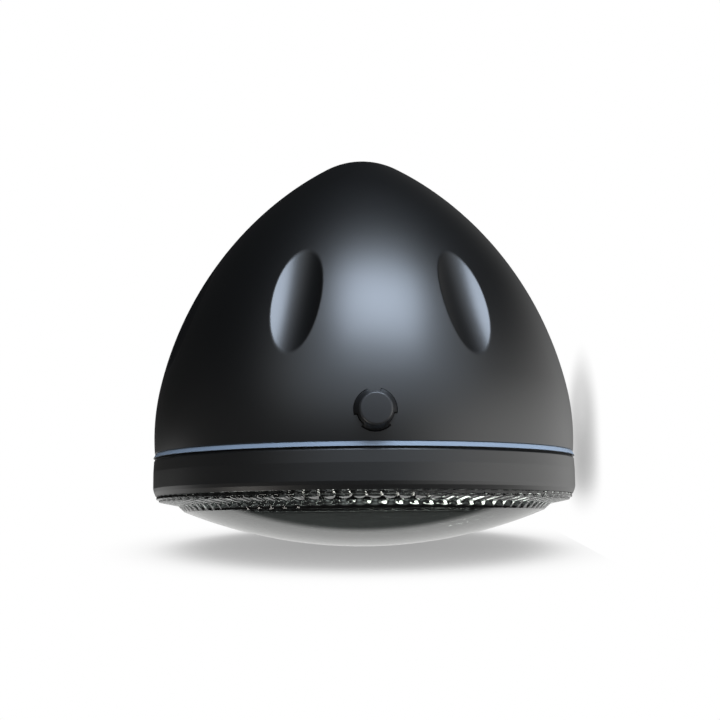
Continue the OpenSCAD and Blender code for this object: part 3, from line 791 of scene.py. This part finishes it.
@dataclass
class FlutedLens:
    """The clear lens: bead, groove, fluted rim, step and dome, made of one repeated wedge."""

    flutes: int = 90
    skirt: float = 98.2
    back: float = -26.8
    bead_back: float = -32.6
    bead_h: float = 1.5
    rim: float = 97.3
    rim_front: float = -35.2
    step_outer: float = 88.4
    rim_fall: float = 1.8
    step_inner: float = 85.4
    step_h: float = 2.7
    dome: float = 226.0
    thick: float = 3.0
    flute_deep: float = 1.0
    scallop: float = 0.5
    bead_scallop: float = 0.2
    columns: int = 7

    def outline(self) -> tuple[np.ndarray, np.ndarray]:
        """Works out the wedge's outline from the dome's pole round to the inner pole.

        Returns:
            The (radius, height) points, and for each the (radius, height) shift that a flute's crest makes.
        """
        low = self.rim_front - self.rim_fall - self.step_h
        centre = low + math.sqrt(self.dome ** 2 - self.step_inner ** 2)
        half = math.asin(self.step_inner / self.dome)
        outer = [(self.dome * math.sin(a), centre - self.dome * math.cos(a)) for a in np.linspace(0, half * 0.995, 16)]
        lip = rounded([
            (outer[-1][0], outer[-1][1], 0), (self.step_inner, low, 0.5),
            (self.step_outer, self.rim_front - self.rim_fall, 0.7), (self.rim, self.rim_front, 1.3),
            (self.rim, self.bead_back - self.bead_h - 0.25, 0.12),
            (self.skirt + 0.25, self.bead_back - self.bead_h, 0.5),
            (self.skirt + 0.25, self.bead_back, 0.5), (self.skirt, self.bead_back + 0.3, 0.15),
            (self.skirt, self.back, 0.3), (self.skirt - self.thick, self.back, 0.3),
            (self.skirt - self.thick, self.back - 1.0, 0)], 5, 0.1)
        lip = lip[1:-1]
        inner_r = self.dome - self.thick
        wall_r = self.skirt - self.thick
        flat_z = self.rim_front + self.thick
        inner_step = self.step_inner - 1.6
        inner_half = math.asin(inner_step / inner_r)
        inner_low = centre - inner_r * math.cos(inner_half)
        zone = rounded([
            (wall_r, self.back - 1.0, 0), (wall_r, flat_z, 1.4),
            (self.step_outer - 1.2, flat_z - self.rim_fall + 0.3, 1.0),
            (inner_step, inner_low, 0.8), (inner_step * 0.97, inner_low - 0.5, 0)], 4, 0.4)[:-1]
        dense = resampled(zone, 0.8)[:-1]
        run = np.concatenate([[0], np.cumsum(np.linalg.norm(np.diff(dense, axis=0), axis=1))])
        inward = normals_along(dense)
        if float(inward[0][0]) > 0:
            inward = -inward
        ramp = np.clip(run / 1.5, 0, 1) * np.clip((run[-1] - run) / 2.0, 0, 1)
        shift = inward * (np.sin(ramp * math.pi / 2) * self.flute_deep)[:, None]
        inner = [(inner_r * math.sin(a), centre - inner_r * math.cos(a))
                 for a in np.linspace(inner_half * 0.985, 0, 14)]
        lip, swell = self.scalloped(lip)
        points = np.concatenate([np.array(outer), lip, dense, np.array(inner)])
        shifts = np.concatenate([np.zeros((len(outer), 2)), swell, shift, np.zeros((len(inner), 2))])
        return points, shifts

    def scalloped(self, lip: np.ndarray) -> tuple[np.ndarray, np.ndarray]:
        """Sinks the rim's outside between the flutes.

        Args:
            lip: the outline from the step to the skirt.

        Returns:
            The sunk outline, and the shift that brings a flute's crest back to the outside.
        """
        lip = resampled(lip, 0.9)
        outward = normals_along(lip)
        step_z = self.rim_front - self.rim_fall - self.step_h
        groove = self.bead_back - self.bead_h
        depth = np.where(lip[:, 1] < groove, self.scallop * np.clip((lip[:, 1] - step_z) / 0.8, 0, 1)
                         * np.clip((groove - lip[:, 1]) / 0.5, 0, 1), 0.0)
        on_bead = (lip[:, 1] > groove - 0.1) & (lip[:, 1] < self.bead_back + 0.1) & (lip[:, 0] > self.skirt + 0.1)
        depth = np.where(on_bead, self.bead_scallop, depth)
        swell = outward * depth[:, None]
        return lip - swell, swell

    def wedge(self) -> bpy.types.Object:
        """Makes the slice of lens that carries one flute."""
        points, shifts = self.outline()
        angle = 2 * math.pi / self.flutes
        across = np.linspace(0, 1, self.columns + 1)
        crest = 1 - (2 * across - 1) ** 2
        turn = (across - 0.5) * angle
        table = points[None] + shifts[None] * crest[:, None, None]
        radius = table[..., 0]
        places = np.stack([radius * np.cos(turn)[:, None], radius * np.sin(turn)[:, None], table[..., 1]], -1)
        rows = len(points)
        faces = []
        for i in range(self.columns):
            a, b = i * rows, (i + 1) * rows
            faces.append([a, b + 1, a + 1])
            for j in range(1, rows - 2):
                faces.append([a + j, b + j, b + j + 1, a + j + 1])
            faces.append([a + rows - 2, b + rows - 2, a + rows - 1])
        return piece("lens_wedge", places.reshape(-1, 3), faces, LENS_GLASS)

    def build(self) -> bpy.types.Object:
        """Repeats the wedge round the axis with geometry nodes and welds the slices.

        Returns:
            The lens.
        """
        source = self.wedge()
        group = bpy.data.node_groups.new("flute_round", "GeometryNodeTree")
        face = group.interface
        face.new_socket("Geometry", in_out="OUTPUT", socket_type="NodeSocketGeometry")
        made = placed("lens_cover", bpy.data.meshes.new("lens_cover"))
        change = made.modifiers.new("flutes", "NODES")
        values = {"Flutes": ("Int", self.flutes), "Wedge": ("Object", source), "Weld distance": ("Float", WELD),
                  "Glass": ("Material", LENS_GLASS.material())}
        names = {title: face.new_socket(title, in_out="INPUT", socket_type=f"NodeSocket{kind}").identifier
                 for title, (kind, _) in values.items()}
        self.wire(NodeTree(group))
        change.node_group = group
        for title, (_, value) in values.items():
            change[names[title]] = value
        settle(made, change)
        bpy.data.objects.remove(source)
        close_up(made, 32)
        return made

    @staticmethod
    def wire(tree: NodeTree) -> None:
        """Fills the node group that sets the wedge round the axis, one copy to each flute."""
        given = tree.node("NodeGroupInput").outputs
        line = tree.node("GeometryNodeMeshLine", {}, {"Count": given["Flutes"], "Offset": (0, 0, 0)})
        info = tree.node("GeometryNodeObjectInfo", {}, {"Object": given["Wedge"]})
        step = tree.math("DIVIDE", 2 * math.pi, given["Flutes"])
        index = Signal(tree, tree.node("GeometryNodeInputIndex").outputs[0])
        spin = tree.node("ShaderNodeCombineXYZ", {}, {"Y": index * step})
        copies = tree.node("GeometryNodeInstanceOnPoints", {}, {
            "Points": line.outputs["Mesh"], "Instance": info.outputs["Geometry"], "Rotation": spin.outputs[0]})
        real = tree.node("GeometryNodeRealizeInstances", {}, {"Geometry": copies.outputs["Instances"]})
        weld = tree.node("GeometryNodeMergeByDistance", {}, {
            "Geometry": real.outputs["Geometry"], "Distance": given["Weld distance"]})
        dress = tree.node("GeometryNodeSetMaterial", {}, {
            "Geometry": weld.outputs["Geometry"], "Material": given["Glass"]})
        tree.node("NodeGroupOutput", {}, {"Geometry": dress.outputs["Geometry"]})


@dataclass
class Reflector:
    """The bright bowl behind the lens, with its rim flange and the hole for the bulb."""

    mouth: float = 90.0
    focal: float = 28.0
    thick: float = 1.5
    flange: float = 93.4
    neck: float = 19.0
    front: float = -24.5

    def build(self) -> bpy.types.Object:
        """Turns the bowl's outline."""
        vertex = self.front + self.mouth ** 2 / (4 * self.focal)
        radii = np.linspace(self.neck, self.mouth, 40)
        inside = [(r, vertex - r * r / (4 * self.focal)) for r in radii]
        outside = []
        for r in radii[::-1][1:-1]:
            slope = r / (2 * self.focal)
            size = math.hypot(1, slope)
            outside.append((r + self.thick * slope / size, vertex - r * r / (4 * self.focal) + self.thick / size))
        rear = self.front + self.thick
        rim = [(self.flange, self.front), (self.flange, rear), (self.mouth + 1, rear)]
        hole = [(self.neck + 2.5, vertex), (self.neck, vertex)]
        return lathe("bright_bowl", np.array(inside + rim + outside[1:] + hole), 192, MIRROR, 30)


@dataclass
class SmallParts:
    """Every remaining piece, taken from its CAD node, merged and smoothed."""

    finishes: dict = field(default_factory=lambda: {
        "rim_gasket": SEAL, "lens_seal": SEAL, "ring_screw": SCREW_STEEL, "ring_nut": SCREW_STEEL,
        "lamp_clips": SPRING_STEEL, "bulb_seat": SEAT_STEEL, "bulb_clip": SPRING_STEEL, "bulb_clip_screw": SCREW_STEEL,
        "bulb_base": CAP_METAL, "bulb_glass": BULB_GLASS, "bulb_shield": SHIELD, "bulb_filaments": FILAMENT,
        "bulb_terminals": BRASS, "bulb_boot": BOOT, "side_bush_right": BUSH_PAINT, "side_bush_left": BUSH_PAINT,
        "side_bolt_right": BOLT_PAINT, "side_bolt_left": BOLT_PAINT, "side_washer_right": SCREW_STEEL,
        "side_washer_left": SCREW_STEEL, "side_nut_right": SCREW_STEEL, "side_nut_left": SCREW_STEEL,
        "cable_grommet": BOOT})

    def build(self) -> None:
        """Makes a smooth copy of each node and seats it in the node's place."""
        for name, finish in self.finishes.items():
            made = placed(f"{name}_smooth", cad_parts[name].data.copy())
            made.data.materials.clear()
            made.data.materials.append(finish.material())
            for polygon in made.data.polygons:
                polygon.material_index = 0
            close_up(made, 28)
            seat(made, finish, name)


@dataclass
class Studio:
    """The floor, the lights, the world and the camera."""

    floor_z: float = -106.0
    distance: float = 641.3
    turn: float = 2.7
    pitch: float = 7.345
    roll: float = 0.47
    aside: float = -1.47
    along: float = -49.5
    lens: float = 66.6
    card_y: float = -57.2
    card_tilt: float = 6.0
    painted_shadow_dark: float = 0.66
    wall_level: float = 1.31
    rear_level: float = 0.18
    table_level: float = 0.74
    window_level: float = 1.13
    room_level: float = 0.015
    room_low: float = 0.075
    below_level: float = 0.3
    behind_glass: float = 0.88

    def build(self) -> None:
        """Sets up everything round the lamp."""
        bpy.context.scene.view_settings.view_transform = "Standard"
        self.camera()
        self.world()
        self.floor()
        self.softbox("key_softbox", (0.585, 0.79, -0.11), 1.1, (0.5, 0.74), 10.1, (0.70, 0.82, 1.0))
        self.softbox("side_fill", (0.25, 0.3, -0.92), 1.1, (0.6, 0.6), 3.0, (0.95, 0.97, 1.0), False)
        self.softbox("front_softbox", (0.1, -0.75, 0.65), 1.3, (0.5, 0.5), 3.0, (1.0, 0.96, 0.9))

    def camera(self) -> None:
        """Puts the camera where the photograph's was."""
        a, p, r = math.radians(self.turn), math.radians(self.pitch), math.radians(self.roll)
        towards = Vector((math.cos(a), 0, math.sin(a)))
        right = Vector((math.sin(a), 0, -math.cos(a)))
        up = Vector((0, 1, 0))
        look = -towards * math.cos(p) + up * math.sin(p)
        top = up * math.cos(p) + towards * math.sin(p)
        side = right * math.cos(r) - top * math.sin(r)
        top = top * math.cos(r) + right * math.sin(r)
        data = bpy.data.cameras.new("photo_camera")
        data.lens = self.lens
        data.sensor_width = 36
        data.clip_start = 0.01
        made = placed("photo_camera", data)
        place = (towards * self.distance + right * self.aside + up * self.along) * MM
        made.matrix_world = Matrix((side, top, -look)).transposed().to_4x4()
        made.matrix_world.translation = place
        bpy.context.scene.camera = made

    def world(self) -> None:
        """Makes a dark room with a pale wall behind and below the lamp, white to the eye."""
        sky = bpy.data.worlds.new("studio")
        bpy.context.scene.world = sky
        tree = NodeTree(sky)
        place = tree.node("ShaderNodeTexCoord")
        parts = tree.node("ShaderNodeSeparateXYZ", {}, {0: place.outputs["Generated"]})
        x, y, z = (Signal(tree, parts.outputs[axis]) for axis in "XYZ")
        back, down, right = (part * -1.0 for part in (x, y, z))
        low = 1.0 - y.over(0.0, 0.6)
        wall = right.over(0.1, 1.0) * low * (1.0 - down.over(0.3, 0.6)) * self.wall_level
        either = tree.math("MAXIMUM", 1.0 - y.over(-0.06, 0.12), right.over(0.0, 0.5))
        rear = back.over(0.45, 0.95) * either * self.rear_level
        rear = rear * (1.0 - down.over(0.1, 0.3)) * (1.0 - z.over(0.1, 0.5))
        table = down.over(-0.02, 0.08) * (1.0 - down.over(0.46, 0.54)) * back.over(0.2, 0.5) * self.table_level
        window = (x * 0.87 + y * 0.46 - z * 0.15).over(0.35, 1.0) * y.over(0.0, 0.4) * self.window_level
        level = self.room_level + low * (1.0 - back.over(0.1, 0.7) * 0.85) * self.room_low
        sides = tree.math("MAXIMUM", wall, rear)
        glow = tree.math("MAXIMUM", sides, tree.math("MAXIMUM", window, table)) + level
        path = tree.node("ShaderNodeLightPath")
        through = Signal(tree, path.outputs["Is Transmission Ray"])
        glow = glow * (1.0 - through * self.behind_glass) + through * down.over(0.86, 1.0) * self.below_level
        tint = tree.blend(window.over(0.0, 1.2), (1.0, 1.0, 0.99), (0.78, 0.88, 1.0))
        room = tree.node("ShaderNodeBackground", {}, {"Color": tint, "Strength": glow})
        white = tree.node("ShaderNodeBackground", {}, {"Color": (1, 1, 1, 1), "Strength": 1.0})
        mix = tree.node("ShaderNodeMixShader", {}, {
            0: path.outputs["Is Camera Ray"], 1: room.outputs[0], 2: white.outputs[0]})
        tree.node("ShaderNodeOutputWorld", {}, {"Surface": mix.outputs[0]})

    def floor(self) -> None:
        """Lays a white floor under the lamp and a white card under its lens, with the lamp's soft shadow painted on
        them from ambient occlusion.
        """
        self.card("floor", (0, 0, self.floor_z), (0, 0, 1), 0.016, (0.106, 0.14))
        tilt = math.radians(self.card_tilt)
        self.card("lens_card", (0, self.card_y, 0), (math.sin(tilt), math.cos(tilt), 0), 0.06, (0.09, 0.17))

    def card(self, name: str, through: tuple, facing: tuple, reach: float, fade: tuple) -> None:
        """Adds a white plane, seen from one side only, with a painted shadow that darkens it close to the lamp.

        Args:
            name: the plane's name.
            through: a point of the plane, in millimetres.
            facing: its direction.
            reach: how far the painted shadow spreads, in metres.
            fade: the distances from the lamp's centre between which the painted shadow ends.
        """
        made = bpy.data.materials.new(name)
        tree = NodeTree(made)
        open_sky = tree.node("ShaderNodeAmbientOcclusion", {"samples": 16}, {"Distance": reach}).outputs["AO"]
        place = tree.node("ShaderNodeTexCoord")
        away = tree.node("ShaderNodeVectorMath", {"operation": "LENGTH"}, {0: place.outputs["Object"]})
        near = 1.0 - Signal(tree, away.outputs["Value"]).over(*fade)
        # Painted shadow: the white glow is dimmed where ambient occlusion finds the lamp close by.
        glow = 1.0 - (1.0 - Signal(tree, open_sky).over(-0.1, 0.9)) * near * self.painted_shadow_dark
        white = tree.node("ShaderNodeEmission", {}, {"Color": (1, 1, 1, 1), "Strength": glow})
        under = tree.node("ShaderNodeNewGeometry").outputs["Backfacing"]
        clear = tree.node("ShaderNodeBsdfTransparent")
        mix = tree.node("ShaderNodeMixShader", {}, {0: under, 1: white.outputs[0], 2: clear.outputs[0]})
        tree.node("ShaderNodeOutputMaterial", {}, {"Surface": mix.outputs[0]})
        mesh = bpy.data.meshes.new(name)
        mesh.from_pydata([(-3, -3, 0), (3, -3, 0), (3, 3, 0), (-3, 3, 0)], [], [(0, 1, 2, 3)])
        mesh.transform(Vector(facing).to_track_quat("Z", "Y").to_matrix().to_4x4())
        mesh.transform(Matrix.Translation(Vector(through) * MM))
        mesh.materials.append(made)
        ground = placed(name, mesh)
        for kind in ("shadow", "glossy", "transmission", "diffuse"):
            setattr(ground, f"visible_{kind}", False)

    def softbox(self, name: str, direction: tuple, away: float, size: tuple, power: float, colour: tuple,
                shown: bool = True) -> None:
        """Adds a softbox that faces the lamp.

        Args:
            name: the light's name.
            direction: where it stands, seen from the lamp.
            away: its distance, in metres.
            size: its two sides, in metres.
            power: its power, in watts.
            colour: its colour.
            shown: whether gloss and glass show it.
        """
        data = bpy.data.lights.new(name, "AREA")
        data.shape = "RECTANGLE"
        data.size, data.size_y = size
        data.energy = power
        data.color = colour
        made = placed(name, data)
        towards = Vector(direction).normalized()
        made.location = towards * away + Vector((0, 0.02, 0))
        made.rotation_mode = "QUATERNION"
        made.rotation_quaternion = towards.to_track_quat("Z", "Y")
        made.visible_glossy = shown
        made.visible_transmission = shown


def main() -> None:
    """Builds the pieces in order."""
    logging.basicConfig(level=logging.INFO, format="%(name)s %(message)s")
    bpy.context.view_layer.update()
    Studio().build()
    shell = BulletShell()
    seat(shell.build(), SHELL_PAINT, "housing")
    seat(EdgeStripe(shell).build(), PAINTED_EDGE_HIGHLIGHT)
    seat(TrimRing().build(), RING_PAINT, "trim_ring")
    seat(FlutedLens().build(), LENS_GLASS, "lens")
    seat(Reflector().build(), MIRROR, "reflector")
    SmallParts().build()


if __name__ == "__main__":
    main()
